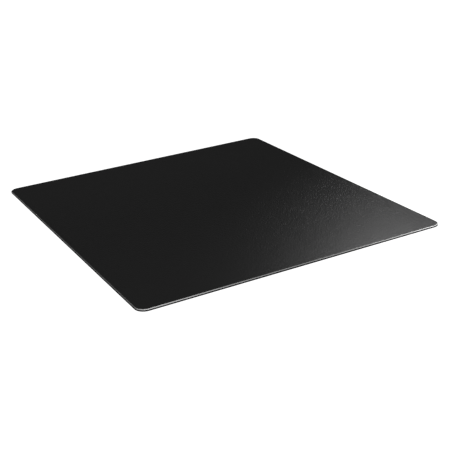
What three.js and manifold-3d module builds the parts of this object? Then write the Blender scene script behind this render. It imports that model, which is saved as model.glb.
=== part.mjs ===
// Chair mat: a flat, rounded, laminated floor protector for an office chair.
//
// Five flat layers lie on each other and are bonded over their whole area. From the top down:
// a hard wear sheet with a bevelled rim, a film of adhesive, a stiff core sheet, a second film
// of adhesive, and a rubber grip backing that rests on the floor.
//
// Millimetres, +Z up, +X along the long side. The origin is the centre of the underside.

import * as THREE from "three";
import { mergeVertices } from "three/addons/utils/BufferGeometryUtils.js";
import Module from "manifold-3d";

const wasm = await Module();
wasm.setup();

// ---- Driving dimensions ----

const MAT_WIDTH = 1300; // along X
const MAT_DEPTH = 1200; // along Y
const CORNER_RADIUS = 35;

const BACKING_THICKNESS = 1.5;
const FILM_THICKNESS = 0.25;
const CORE_THICKNESS = 2.5;
const WEAR_THICKNESS = 3;

const BEVEL_WIDTH = 3; // how far the rim's slope runs in from the outline
const BEVEL_DROP = 1.75; // how far the slope falls from the rolling surface

const FILM_SETBACK = 0.5; // the sheets are trimmed flush, and the adhesive ends just inside them

const CORNER_SEGMENTS = 16; // straight steps in each quarter-round corner

// ---- Heights of the layers, stacked from the floor ----

const FLOOR = 0;
const BACKING_TOP = FLOOR + BACKING_THICKNESS;
const CORE_BOTTOM = BACKING_TOP + FILM_THICKNESS;
const CORE_TOP = CORE_BOTTOM + CORE_THICKNESS;
const WEAR_BOTTOM = CORE_TOP + FILM_THICKNESS;

// ---- Shapes ----

// The mat's outline, moved in by a setback all round.
function outline(setback) {
  const x = MAT_WIDTH / 2 - setback;
  const y = MAT_DEPTH / 2 - setback;
  const radius = CORNER_RADIUS - setback;
  const quarter = Math.PI / 2;
  const corners = [
    [x - radius, y - radius],
    [radius - x, y - radius],
    [radius - x, radius - y],
    [x - radius, radius - y],
  ];
  const shape = new THREE.Shape();
  corners.forEach(([centreX, centreY], turn) => {
    shape.absarc(centreX, centreY, radius, turn * quarter, (turn + 1) * quarter, false);
  });
  shape.closePath();
  return shape;
}

// A flat layer with square edges, from height zero upwards.
function flatLayer(setback, thickness) {
  return new THREE.ExtrudeGeometry(outline(setback), {
    depth: thickness,
    bevelEnabled: false,
    curveSegments: CORNER_SEGMENTS,
  });
}

// A three.js geometry as a manifold-3d solid.
function solidFrom(geometry) {
  const bare = geometry.index ? geometry.toNonIndexed() : geometry.clone();
  bare.deleteAttribute("normal");
  bare.deleteAttribute("uv");
  const merged = mergeVertices(bare, 1e-3);
  return new wasm.Manifold(
    new wasm.Mesh({
      numProp: 3,
      vertProperties: merged.attributes.position.array,
      triVerts: new Uint32Array(merged.index.array),
    }),
  );
}

// A manifold-3d solid as a three.js geometry.
function geometryFrom(solid) {
  const mesh = solid.getMesh();
  const geometry = new THREE.BufferGeometry();
  geometry.setAttribute("position", new THREE.BufferAttribute(mesh.vertProperties, 3));
  geometry.setIndex(new THREE.BufferAttribute(mesh.triVerts, 1));
  geometry.computeVertexNormals();
  return geometry;
}

// The wear sheet: bevelled round the top only. An extrusion is bevelled at both ends, so the
// lower bevel hangs below height zero and is cut away.
function wearSheetGeometry() {
  const bevelled = new THREE.ExtrudeGeometry(outline(0), {
    depth: WEAR_THICKNESS - BEVEL_DROP,
    bevelEnabled: true,
    bevelSegments: 1,
    bevelThickness: BEVEL_DROP,
    bevelSize: BEVEL_WIDTH,
    bevelOffset: -BEVEL_WIDTH,
    curveSegments: CORNER_SEGMENTS,
  });
  const below = new THREE.BoxGeometry(2 * MAT_WIDTH, 2 * MAT_DEPTH, 2 * BEVEL_DROP);
  below.translate(0, 0, -BEVEL_DROP);
  return geometryFrom(solidFrom(bevelled).subtract(solidFrom(below)));
}

// ---- Materials ----

const blackPlastic = new THREE.MeshStandardMaterial({
  color: 0x1e1e1e,
  roughness: 0.5,
  metalness: 0,
});
const corePlastic = new THREE.MeshStandardMaterial({
  color: 0x18191a,
  roughness: 0.6,
  metalness: 0,
});
const adhesive = new THREE.MeshStandardMaterial({
  color: 0x2b2925,
  roughness: 0.35,
  metalness: 0,
});
const gripRubber = new THREE.MeshStandardMaterial({
  color: 0x161616,
  roughness: 0.85,
  metalness: 0,
});

// ---- The assembly ----

const mat = new THREE.Group();

function addLayer(name, geometry, material, height) {
  const layer = new THREE.Mesh(geometry, material);
  layer.name = name;
  layer.position.z = height;
  mat.add(layer);
}

addLayer("grip_backing", flatLayer(0, BACKING_THICKNESS), gripRubber, FLOOR);
addLayer("lower_bond_film", flatLayer(FILM_SETBACK, FILM_THICKNESS), adhesive, BACKING_TOP);
addLayer("core_sheet", flatLayer(0, CORE_THICKNESS), corePlastic, CORE_BOTTOM);
addLayer("upper_bond_film", flatLayer(FILM_SETBACK, FILM_THICKNESS), adhesive, CORE_TOP);
addLayer("wear_sheet", wearSheetGeometry(), blackPlastic, WEAR_BOTTOM);

export default mat;
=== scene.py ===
"""Looks of a flat black chair mat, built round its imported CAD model.

The mat is a laminate that lies on the floor. From the top down it has an embossed wear sheet
with a bevelled rim, a film of adhesive, a stiff core sheet, a second film, and a rubber
backing with low grip dots underneath.

The two films keep their CAD shapes. The other three layers are made again here with finer
corners and worn arrises. Everything is in metres, in the CAD model's own frame.
"""

import math

import bpy
from mathutils import Matrix, Vector


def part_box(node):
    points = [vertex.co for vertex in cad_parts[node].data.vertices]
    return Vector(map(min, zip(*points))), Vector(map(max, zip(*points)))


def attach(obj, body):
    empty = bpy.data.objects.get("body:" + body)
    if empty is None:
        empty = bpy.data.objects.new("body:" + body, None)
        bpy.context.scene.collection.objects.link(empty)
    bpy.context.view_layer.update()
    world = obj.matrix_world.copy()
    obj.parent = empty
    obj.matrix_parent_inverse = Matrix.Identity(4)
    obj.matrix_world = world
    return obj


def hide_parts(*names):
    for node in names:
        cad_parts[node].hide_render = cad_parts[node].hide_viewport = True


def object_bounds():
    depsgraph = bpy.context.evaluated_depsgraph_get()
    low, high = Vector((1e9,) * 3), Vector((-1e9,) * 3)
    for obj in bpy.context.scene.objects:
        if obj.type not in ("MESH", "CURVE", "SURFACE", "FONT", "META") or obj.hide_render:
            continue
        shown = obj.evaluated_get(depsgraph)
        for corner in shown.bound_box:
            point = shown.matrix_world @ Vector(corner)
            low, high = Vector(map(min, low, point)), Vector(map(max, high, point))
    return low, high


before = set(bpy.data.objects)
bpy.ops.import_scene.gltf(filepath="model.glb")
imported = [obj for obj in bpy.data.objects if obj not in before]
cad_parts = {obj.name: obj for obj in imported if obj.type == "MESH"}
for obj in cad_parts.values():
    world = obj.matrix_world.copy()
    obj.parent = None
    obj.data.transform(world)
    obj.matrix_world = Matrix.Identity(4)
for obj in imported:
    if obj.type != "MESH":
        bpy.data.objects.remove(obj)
cad_low, cad_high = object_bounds()

MM = 0.001
BODY = "root"
HALF_X = cad_high.x
HALF_Y = cad_high.y

# ---- Sizes that the frame doesn't hold ----

CORNER_RADIUS = 35 * MM
CORNER_STEPS = 32  # straight steps in each quarter-round corner
CORNER_POINTS = CORNER_STEPS + 1
RING_POINTS = 4 * CORNER_POINTS

BEVEL_WIDTH = 3 * MM
BEVEL_DROP = 1.75 * MM
FACE_MARGIN = 3 * MM  # from a flat face's edge to the ring of points inside it
TOP_ARRIS = 0.35 * MM  # how far the softened edge between bevel and top runs each way
LOWER_ARRIS = 0.12 * MM  # the same for the bevel's lower edge
TRIM_ARRIS = 0.1 * MM  # and for the cut edges of the core sheet
BACKING_ARRIS = 0.2 * MM  # and for the lower edge of the backing
ARRIS_STEPS = 3

DOT_HEIGHT = 0.5 * MM
DOT_BASE_RADIUS = 3.3 * MM
DOT_TIP_RADIUS = 2.9 * MM
DOT_SIDES = 12
FIRST_DOT_SIDE = 7  # the side of a dot that faces its cell's first corner
DOT_COLUMNS = 57  # odd, and so are the rows, so that one dot is at the very middle
DOT_ROWS = 61
DOT_MARGIN = 12 * MM  # plain rubber between the dots' cells and the backing's edge
LATTICE_COLUMNS = 2 * DOT_COLUMNS + 1  # the cells' lattice has a point at each half cell along X
LATTICE_ROWS = DOT_ROWS + 1  # and at each row's edge along Y

SHARP_ANGLE = math.radians(40)  # an edge that turns more than this is shaded as a sharp one
BEVEL_LIMIT = 0.95  # a rim face whose normal rises less than this is part of the bevel
CUT_LIMIT = 0.5  # and less than this, part of the upright cut below it


# ---- Mesh helpers ----


def add_object(name, vertices, faces):
    """A new mesh object of these vertices and faces, smooth apart from its sharp edges."""
    mesh = bpy.data.meshes.new(name)
    mesh.from_pydata(vertices, [], faces)
    mesh.shade_smooth()
    mesh.set_sharp_from_angle(angle=SHARP_ANGLE)
    piece = bpy.data.objects.new(name, mesh)
    bpy.context.scene.collection.objects.link(piece)
    return piece


def outline_ring(setback, height):
    """The mat's outline, moved in by a setback, anticlockwise from the top of its +X side."""
    radius = CORNER_RADIUS - setback
    points = []
    for turn, (side_x, side_y) in enumerate(((1, 1), (-1, 1), (-1, -1), (1, -1))):
        centre_x = side_x * (HALF_X - CORNER_RADIUS)
        centre_y = side_y * (HALF_Y - CORNER_RADIUS)
        for step in range(CORNER_POINTS):
            angle = math.radians(90) * (turn + step / CORNER_STEPS)
            x = centre_x + radius * math.cos(angle)
            y = centre_y + radius * math.sin(angle)
            points.append((x, y, height))
    return points


def rings_of(profile):
    """One rounded outline for each (setback, height) of a profile, as a flat list of points."""
    points = []
    for setback, height in profile:
        points += outline_ring(setback, height)
    return points


def bridge(first_ring, second_ring, count):
    """The quads between two rings of count points that start at these indices."""
    quads = []
    for point in range(count):
        after = (point + 1) % count
        upper_edge = (first_ring + after, first_ring + point)
        lower_edge = (second_ring + point, second_ring + after)
        quads.append(upper_edge + lower_edge)
    return quads


def arris(corner, before, after, size):
    """A profile's corner, rounded between the points size away from it on either side."""
    start = corner + (before - corner).normalized() * size
    end = corner + (after - corner).normalized() * size
    points = []
    for step in range(ARRIS_STEPS + 1):
        t = step / ARRIS_STEPS
        points.append(start * (1 - t) ** 2 + corner * 2 * t * (1 - t) + end * t**2)
    return [tuple(point) for point in points]


def last_ring(profile):
    """The index of the first point of a profile's last outline."""
    return (len(profile) - 1) * RING_POINTS


def top_and_rim(profile):
    """A layer's flat upper face, and its rim from there down to the profile's last outline."""
    faces = [tuple(range(RING_POINTS))]
    for ring in range(0, last_ring(profile), RING_POINTS):
        faces += bridge(ring, ring + RING_POINTS, RING_POINTS)
    return faces


def layer_from(name, profile):
    """A flat layer whose rim follows a profile, from its upper face down to its lower face."""
    last = last_ring(profile)
    underside = tuple(range(last + RING_POINTS - 1, last - 1, -1))
    return add_object(name, rings_of(profile), top_and_rim(profile) + [underside])


def setback_of(node):
    """How far a CAD layer's edge lies inside the mat's outline."""
    return HALF_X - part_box(node)[1].x


# ---- The three layers that are made again ----


def make_wear_sheet():
    """The rolling surface: its bevelled rim has softened arrises."""
    low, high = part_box("wear_sheet")
    inner = Vector((BEVEL_WIDTH + FACE_MARGIN, high.z))
    crest = Vector((BEVEL_WIDTH, high.z))
    brow = Vector((0, high.z - BEVEL_DROP))
    foot = Vector((0, low.z))
    profile = [tuple(inner)]
    profile += arris(crest, inner, brow, TOP_ARRIS)
    profile += arris(brow, crest, foot, LOWER_ARRIS)
    profile += [tuple(foot)]
    return layer_from("embossed_wear_sheet", profile)


def make_core_sheet():
    """The stiff sheet in the middle, trimmed flush with the wear sheet."""
    low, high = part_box("core_sheet")
    inner_top = Vector((FACE_MARGIN, high.z))
    top = Vector((0, high.z))
    bottom = Vector((0, low.z))
    inner_bottom = Vector((FACE_MARGIN, low.z))
    profile = [tuple(inner_top)]
    profile += arris(top, inner_top, bottom, TRIM_ARRIS)
    profile += arris(bottom, top, inner_bottom, TRIM_ARRIS)
    profile += [tuple(inner_bottom)]
    return layer_from("trimmed_core_sheet", profile)


def lattice_point(first, column, row):
    """The index of a lattice point, counted on from the index of the lattice's first one."""
    return first + row * LATTICE_COLUMNS + column


def cell_corners(lattice, column, row, half_cells):
    """The lattice points round a cell this many half cells wide, anticlockwise from its first."""
    lower = [lattice_point(lattice, column + step, row) for step in range(half_cells + 1)]
    upper = [lattice_point(lattice, column + step, row + 1) for step in range(half_cells, -1, -1)]
    return lower + upper


def margin_faces(rim, lattice):
    """Plain rubber from the lattice out to the rim: a strip at each side, a fan at each corner.

    The lattice and the rim's lowest outline start at these indices.
    """
    last_column = LATTICE_COLUMNS - 1
    last_row = LATTICE_ROWS - 1
    sides = (
        [lattice_point(lattice, last_column, row) for row in range(last_row, -1, -1)],
        [lattice_point(lattice, column, last_row) for column in range(LATTICE_COLUMNS)],
        [lattice_point(lattice, 0, row) for row in range(LATTICE_ROWS)],
        [lattice_point(lattice, column, 0) for column in range(last_column, -1, -1)],
    )
    faces = []
    for turn, side in enumerate(sides):
        corner = turn * CORNER_POINTS
        first = rim + corner
        before = rim + (corner - 1) % RING_POINTS
        faces.append([before, first] + side)
        for step in range(CORNER_STEPS):
            faces.append([side[0], first + step, first + step + 1])
    return faces


def dot_points(centre_x, centre_y, web, tip):
    """A dot's wide ring of points on the web's underside, then its narrower one at the tip."""
    points = []
    for radius, height in ((DOT_BASE_RADIUS, web), (DOT_TIP_RADIUS, tip)):
        for side in range(DOT_SIDES):
            angle = math.tau * side / DOT_SIDES
            x = centre_x + radius * math.cos(angle)
            y = centre_y + radius * math.sin(angle)
            points.append((x, y, height))
    return points


def cell_faces(corners, dot):
    """The triangles between a cell's corners and its dot's wide ring, which starts at dot."""
    faces = []
    # From each of the cell's corners to the next, the dot has two sides.
    for place, corner in enumerate(corners):
        next_corner = corners[(place + 1) % len(corners)]
        start = FIRST_DOT_SIDE + 2 * place
        near, middle, far = (dot + (start + step) % DOT_SIDES for step in range(3))
        faces.append([corner, next_corner, middle])
        faces.append([corner, middle, near])
        faces.append([next_corner, far, middle])
    return faces


def make_grip_backing():
    """The rubber backing, with staggered rows of low round dots that stand on the floor."""
    low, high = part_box("grip_backing")
    web = low.z + DOT_HEIGHT
    setback = setback_of("grip_backing")
    top_edge = (setback, high.z)
    web_edge = Vector((setback, web))
    inner = Vector((setback + DOT_MARGIN, web))
    profile = [top_edge] + arris(web_edge, Vector(top_edge), inner, BACKING_ARRIS)
    vertices = rings_of(profile)
    faces = top_and_rim(profile)

    across = HALF_X - setback - DOT_MARGIN
    along = HALF_Y - setback - DOT_MARGIN
    half_cell = across / DOT_COLUMNS
    row_depth = 2 * along / DOT_ROWS
    lattice = len(vertices)
    for row in range(LATTICE_ROWS):
        for column in range(LATTICE_COLUMNS):
            vertices.append((column * half_cell - across, row * row_depth - along, web))
    below = margin_faces(last_ring(profile), lattice)

    # Every other row is shifted by half a cell and ends in a plain half cell on either side.
    for row in range(DOT_ROWS):
        shift = row % 2
        if shift:
            for column in (0, LATTICE_COLUMNS - 2):
                below.append(cell_corners(lattice, column, row, half_cells=1))
        for cell in range(DOT_COLUMNS - shift):
            column = 2 * cell + shift
            centre_x = (column + 1) * half_cell - across
            centre_y = (row + 0.5) * row_depth - along
            corners = cell_corners(lattice, column, row, half_cells=2)
            base = len(vertices)
            tip = base + DOT_SIDES
            vertices += dot_points(centre_x, centre_y, web, low.z)
            faces += bridge(base, tip, DOT_SIDES)
            below.append(list(range(tip, tip + DOT_SIDES)))
            below += cell_faces(corners, base)
    faces += [tuple(reversed(face)) for face in below]
    return add_object("moulded_grip_backing", vertices, faces)


# ---- Materials ----

NOISE_LOW = 0.3  # most of a noise lies between these two values
NOISE_HIGH = 0.7

PRESSED_REACH = 650 * MM  # how far from the ends the wear sheet's pebbles reach their full depth
PRESSED_LEAST = 0.28  # their depth at the very ends, as a part of the full depth


def new_material(name, **values):
    """A material with one Principled shader. The values go to its sockets of those names."""
    material = bpy.data.materials.new(name)
    material.use_nodes = True
    nodes = material.node_tree.nodes
    nodes.clear()
    output = nodes.new("ShaderNodeOutputMaterial")
    shader = nodes.new("ShaderNodeBsdfPrincipled")
    material.node_tree.links.new(shader.outputs["BSDF"], output.inputs["Surface"])
    for socket, value in values.items():
        shader.inputs[socket.replace("_", " ")].default_value = value
    return material, shader


def points_of(tree, stretch=(1, 1, 1)):
    """The object's own coordinates in metres, stretched along each axis."""
    place = tree.nodes.new("ShaderNodeTexCoord")
    mapping = tree.nodes.new("ShaderNodeMapping")
    mapping.inputs["Scale"].default_value = stretch
    tree.links.new(place.outputs["Object"], mapping.inputs["Vector"])
    return mapping.outputs["Vector"]


def noise(tree, points, size, detail=0.0):
    """Smooth noise from 0 to 1, whose lumps are about one size across, in metres."""
    node = tree.nodes.new("ShaderNodeTexNoise")
    node.inputs["Scale"].default_value = 1 / size
    node.inputs["Detail"].default_value = detail
    tree.links.new(points, node.inputs["Vector"])
    return node.outputs["Fac"]


def between(tree, amount, low, high):
    """A number that goes from low to high with an amount of noise."""
    node = tree.nodes.new("ShaderNodeMapRange")
    node.inputs["From Min"].default_value = NOISE_LOW
    node.inputs["From Max"].default_value = NOISE_HIGH
    node.inputs["To Min"].default_value = low
    node.inputs["To Max"].default_value = high
    tree.links.new(amount, node.inputs["Value"])
    return node.outputs["Result"]


def blended(tree, amount, dark, light):
    """A colour that goes from dark to light with an amount of noise."""
    node = tree.nodes.new("ShaderNodeValToRGB")
    first, last = node.color_ramp.elements
    first.position = NOISE_LOW
    last.position = NOISE_HIGH
    first.color = (*dark, 1)
    last.color = (*light, 1)
    tree.links.new(amount, node.inputs["Fac"])
    return node.outputs["Color"]


def calculated(tree, operation, *values):
    """The outcome of a sum on other nodes' outputs."""
    node = tree.nodes.new("ShaderNodeMath")
    node.operation = operation
    for socket, value in zip(node.inputs, values):
        tree.links.new(value, socket)
    return node.outputs["Value"]


def pressed(tree, points, height):
    """Relief as the rollers press it: fully in the sheet's middle, less towards its two ends."""
    place = tree.nodes.new("ShaderNodeSeparateXYZ")
    tree.links.new(points, place.inputs["Vector"])
    offset = calculated(tree, "ABSOLUTE", place.outputs["X"])
    pressure = tree.nodes.new("ShaderNodeMapRange")
    pressure.interpolation_type = "SMOOTHSTEP"
    pressure.inputs["From Min"].default_value = HALF_X
    pressure.inputs["From Max"].default_value = HALF_X - PRESSED_REACH
    pressure.inputs["To Min"].default_value = PRESSED_LEAST
    tree.links.new(offset, pressure.inputs["Value"])
    return calculated(tree, "MULTIPLY", height, pressure.outputs["Result"])


def raised(tree, height, depth, over=None):
    """A normal for relief of this depth in metres, over another normal if there is one."""
    node = tree.nodes.new("ShaderNodeBump")
    node.inputs["Distance"].default_value = depth
    tree.links.new(height, node.inputs["Height"])
    if over is not None:
        tree.links.new(over, node.inputs["Normal"])
    return node.outputs["Normal"]


def embossed_plastic():
    """The rolling surface: black plastic with a fine pebbled grain, satin between the grains."""
    material, shader = new_material("embossed_black_plastic", IOR=1.5)
    tree = material.node_tree
    points = points_of(tree)
    cloudy = noise(tree, points, size=160 * MM, detail=3)
    tint = blended(tree, cloudy, dark=(0.0133, 0.0133, 0.0134), light=(0.0145, 0.0145, 0.0145))
    tree.links.new(tint, shader.inputs["Base Color"])
    sheen = noise(tree, points, size=45 * MM, detail=2)
    tree.links.new(between(tree, sheen, low=0.32, high=0.34), shader.inputs["Roughness"])
    pebbles = pressed(tree, points, noise(tree, points, size=5 * MM))
    relief = raised(tree, pebbles, depth=1.3 * MM)
    grain = noise(tree, points, size=1.5 * MM)
    relief = raised(tree, grain, depth=0.09 * MM, over=relief)
    tree.links.new(relief, shader.inputs["Normal"])
    return material


def bevel_plastic_painted_highlight():
    """The bevelled rim: the same plastic cut smooth, with faint cutter lines along the rim and a
    painted highlight in its colour.
    """
    material, shader = new_material("bevel_painted_highlight", IOR=1.5)
    tree = material.node_tree
    points = points_of(tree)
    cloudy = noise(tree, points, size=60 * MM, detail=2)
    # The light grey base colour is painted highlight: it stands in for the bright line of light
    # that the bevel catches.
    tint = blended(tree, cloudy, dark=(0.145, 0.145, 0.145), light=(0.165, 0.165, 0.165))
    tree.links.new(tint, shader.inputs["Base Color"])
    tree.links.new(between(tree, cloudy, low=0.24, high=0.30), shader.inputs["Roughness"])
    lines = noise(tree, points_of(tree, stretch=(0.01, 0.01, 1)), size=0.25 * MM, detail=1)
    tree.links.new(raised(tree, lines, depth=0.01 * MM), shader.inputs["Normal"])
    return material


def cut_plastic_painted_shade():
    """The core and the layers' upright cut edges: dull black, darker than the top's as painted
    shade, with fine upright saw marks.
    """
    material, shader = new_material("cut_edge_painted_shade", IOR=1.5, Specular_IOR_Level=0.0)
    tree = material.node_tree
    points = points_of(tree)
    cloudy = noise(tree, points, size=25 * MM, detail=3)
    # The base colour is several times darker than the top's black: painted shade, for the shade
    # on the upright edges under the bevel.
    tint = blended(tree, cloudy, dark=(0.0020, 0.0020, 0.0021), light=(0.0034, 0.0034, 0.0035))
    tree.links.new(tint, shader.inputs["Base Color"])
    tree.links.new(between(tree, cloudy, low=0.52, high=0.62), shader.inputs["Roughness"])
    marks = noise(tree, points_of(tree, stretch=(1, 1, 0.08)), size=0.8 * MM, detail=2)
    tree.links.new(raised(tree, marks, depth=0.08 * MM), shader.inputs["Normal"])
    return material


def adhesive_film():
    """The bond films: dark adhesive, slightly brown and mottled, a little glossy."""
    material, shader = new_material("adhesive_film", IOR=1.48)
    tree = material.node_tree
    points = points_of(tree)
    mottled = noise(tree, points, size=9 * MM, detail=3)
    tint = blended(tree, mottled, dark=(0.020, 0.018, 0.014), light=(0.029, 0.027, 0.022))
    tree.links.new(tint, shader.inputs["Base Color"])
    tree.links.new(between(tree, mottled, low=0.28, high=0.42), shader.inputs["Roughness"])
    ripples = noise(tree, points, size=3 * MM, detail=1)
    tree.links.new(raised(tree, ripples, depth=0.15 * MM), shader.inputs["Normal"])
    return material


def grip_rubber():
    """The backing: dull black rubber with a fine matt skin and a trace of mould bloom."""
    material, shader = new_material("grip_rubber", IOR=1.5, Specular_IOR_Level=0.3)
    tree = material.node_tree
    points = points_of(tree)
    bloom = noise(tree, points, size=70 * MM, detail=4)
    tint = blended(tree, bloom, dark=(0.0170, 0.0170, 0.0170), light=(0.0240, 0.0240, 0.0238))
    tree.links.new(tint, shader.inputs["Base Color"])
    tree.links.new(between(tree, bloom, low=0.72, high=0.84), shader.inputs["Roughness"])
    skin = noise(tree, points, size=0.5 * MM, detail=2)
    tree.links.new(raised(tree, skin, depth=0.06 * MM), shader.inputs["Normal"])
    return material


# ---- Putting the mat together ----


def finish_layer(piece, node, slot, *materials):
    """Gives a remade layer its materials, and has it stand for its CAD node."""
    for material in materials:
        piece.data.materials.append(material)
    shading = piece.modifiers.new("even_shading", "WEIGHTED_NORMAL")
    shading.keep_sharp = True
    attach(piece, BODY)
    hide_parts(node)


def paint_steep(piece, limit, material):
    """Gives one of a layer's own materials to its faces whose normals rise less than a limit."""
    number = piece.data.materials.find(material.name)
    for face in piece.data.polygons:
        if abs(face.normal.z) < limit:
            face.material_index = number


def make_mat():
    """The five layers, with their materials."""
    # The upright cut edges get painted shade: a black darker than the top's.
    cut_edge = cut_plastic_painted_shade()
    wear_sheet = make_wear_sheet()
    rolling_face = embossed_plastic()
    # The bevel's light grey colour is a painted highlight.
    bevel = bevel_plastic_painted_highlight()
    finish_layer(wear_sheet, "wear_sheet", "wear_surface", rolling_face, bevel, cut_edge)
    paint_steep(wear_sheet, BEVEL_LIMIT, bevel)
    paint_steep(wear_sheet, CUT_LIMIT, cut_edge)
    finish_layer(make_core_sheet(), "core_sheet", "core_plastic", cut_edge)
    backing = make_grip_backing()
    finish_layer(backing, "grip_backing", "grip_rubber", grip_rubber(), cut_edge)
    paint_steep(backing, CUT_LIMIT, cut_edge)
    film = adhesive_film()
    for node in ("upper_bond_film", "lower_bond_film"):
        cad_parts[node].material_slots[0].material = film


# ---- Studio ----

WHITE = (1, 1, 1, 1)

FLOOR_HALF = 40  # half of its side, so long that a low view doesn't show its end
FLOOR_COLOUR = (0.6, 0.6, 0.6, 1)
FLOOR_GLOW = 1.0

CAMERA_PLACE = Vector((2.9937, -1.5566, 1.333))
CAMERA_TARGET = Vector((0.2075, -0.0494, 0.0075))
CAMERA_ROLL = math.radians(-2.68)
CAMERA_LENS = 74.6  # in millimetres, on a sensor 36 mm wide
CAMERA_REACH = 4 * FLOOR_HALF  # it sees past the floor's far corners

# The key light looks past the mat's corner, so that the edge of its beam lies on the mat.
KEY_PLACE = Vector((-1.68, 2.33, 2.78))
KEY_TARGET = Vector((1.42, 0.84, 0))
KEY_SIZE = 0.4
KEY_SPREAD = math.radians(38.9)
KEY_POWER = 3.6

BACKDROP = 1.05  # the walls' brightness as the camera sees it
SOFT_LIGHT = 0.25  # and as dull surfaces are lit by it
CEILING_GLOW = 0.3  # straight above, as glossy surfaces see it
CEILING_START = 0.147  # the height on a unit sphere at which the ceiling starts to glow

# Thin strip lights that lie on the floor beside the mat and pick out its bevel: the middle of
# each along the mat's edge, its length, and its power.
RIGHT_STRIPS = ((0.75, 0.3, 34.0), (-0.65, 0.3, 16.5))
FRONT_STRIPS = ((-0.5, 1.0, 1.7),)
STRIP_GAP = 0.5  # from the mat's edge
STRIP_HEIGHT = 0.006
STRIP_RISE = 0.001  # from the floor
STRIP_SPREAD = math.pi  # the widest there is


def add_floor():
    """A wide pale floor, level with the underside of the mat and lit evenly from within."""
    corners = []
    for side_x, side_y in ((-1, -1), (1, -1), (1, 1), (-1, 1)):
        corners.append((side_x * FLOOR_HALF, side_y * FLOOR_HALF, cad_low.z))
    floor = add_object("studio_floor", corners, [(0, 1, 2, 3)])
    material, shader = new_material("pale_floor", Roughness=1.0, Specular_IOR_Level=0.0)
    shader.inputs["Base Color"].default_value = FLOOR_COLOUR
    shader.inputs["Emission Color"].default_value = WHITE
    shader.inputs["Emission Strength"].default_value = FLOOR_GLOW
    floor.data.materials.append(material)


def aimed(place, target, roll=0.0):
    """The matrix of a camera or lamp at a place, which looks at a target, turned by a roll."""
    forward = (target - place).normalized()
    right = forward.cross(Vector((0, 0, 1))).normalized()
    up = right.cross(forward)
    turned_right = right * math.cos(roll) + up * math.sin(roll)
    turned_up = up * math.cos(roll) - right * math.sin(roll)
    turn = Matrix((turned_right, turned_up, -forward)).transposed()
    return Matrix.Translation(place) @ turn.to_4x4()


def add_camera():
    """The camera, which looks down across the mat from beyond its nearest corner."""
    data = bpy.data.cameras.new("photo_camera")
    data.lens = CAMERA_LENS
    data.clip_end = CAMERA_REACH
    camera = bpy.data.objects.new("photo_camera", data)
    camera.matrix_world = aimed(CAMERA_PLACE, CAMERA_TARGET, CAMERA_ROLL)
    bpy.context.scene.collection.objects.link(camera)
    bpy.context.scene.camera = camera


def add_softbox(name, place, target, width, height, spread, power):
    """A flat lamp at a place, facing a target. Its spread is the width of its beam."""
    box = bpy.data.lights.new(name, "AREA")
    box.shape = "RECTANGLE"
    box.size = width
    box.size_y = height
    box.spread = spread
    box.energy = power
    lamp = bpy.data.objects.new(name, box)
    lamp.matrix_world = aimed(place, target)
    lamp.visible_camera = False
    bpy.context.scene.collection.objects.link(lamp)
    return lamp


def add_strips(name, edge, outward, along, strips):
    """Strip lights beside an edge. Their own images don't show on glossy surfaces."""
    height = Vector((0, 0, STRIP_RISE + STRIP_HEIGHT / 2))
    for number, (middle, length, power) in enumerate(strips, 1):
        title = f"{name}_{number}"
        beside = outward * edge + along * middle + height
        place = beside + outward * STRIP_GAP
        lamp = add_softbox(title, place, beside, length, STRIP_HEIGHT, STRIP_SPREAD, power)
        lamp.visible_glossy = False


def add_lights():
    """The key light high above the mat, and the strips on the floor beside its near edges."""
    right = Vector((1, 0, 0))
    back = Vector((0, 1, 0))
    add_softbox("key_softbox", KEY_PLACE, KEY_TARGET, KEY_SIZE, KEY_SIZE, KEY_SPREAD, KEY_POWER)
    add_strips("right_strip", HALF_X, right, back, RIGHT_STRIPS)
    add_strips("front_strip", HALF_Y, -back, right, FRONT_STRIPS)


def ceiling_glow(tree):
    """The brightness of the ceiling for glossy surfaces, which grows from the walls upwards."""
    place = tree.nodes.new("ShaderNodeTexCoord")
    height = tree.nodes.new("ShaderNodeSeparateXYZ")
    glow = tree.nodes.new("ShaderNodeMapRange")
    glow.inputs["From Min"].default_value = CEILING_START
    glow.inputs["To Max"].default_value = CEILING_GLOW
    tree.links.new(place.outputs["Generated"], height.inputs["Vector"])
    tree.links.new(height.outputs["Z"], glow.inputs["Value"])
    return glow.outputs["Result"]


def background(tree, strength):
    """A white background shader. Its strength is a number or another node's output."""
    node = tree.nodes.new("ShaderNodeBackground")
    node.inputs["Color"].default_value = WHITE
    if isinstance(strength, float):
        node.inputs["Strength"].default_value = strength
    else:
        tree.links.new(strength, node.inputs["Strength"])
    return node.outputs["Background"]


def chosen(tree, rays, when_not, when_so):
    """One shader or the other, by the kind of ray that looks."""
    kinds = tree.nodes.new("ShaderNodeLightPath")
    choice = tree.nodes.new("ShaderNodeMixShader")
    tree.links.new(kinds.outputs[rays], choice.inputs["Fac"])
    tree.links.new(when_not, choice.inputs[1])
    tree.links.new(when_so, choice.inputs[2])
    return choice.outputs["Shader"]


def set_room():
    """A white backdrop for the camera, even soft light on dull surfaces, and for glossy ones a
    dim room with a glowing ceiling, as between a studio's black flags."""
    world = bpy.data.worlds.new("studio")
    world.use_nodes = True
    world.cycles.sampling_method = "NONE"
    tree = world.node_tree
    tree.nodes.clear()
    glow = background(tree, ceiling_glow(tree))
    lighting = chosen(tree, "Is Glossy Ray", background(tree, SOFT_LIGHT), glow)
    room = chosen(tree, "Is Camera Ray", lighting, background(tree, BACKDROP))
    output = tree.nodes.new("ShaderNodeOutputWorld")
    tree.links.new(room, output.inputs["Surface"])
    bpy.context.scene.world = world
    bpy.context.scene.view_settings.view_transform = "Standard"


add_camera()
add_lights()
set_room()
add_floor()
make_mat()
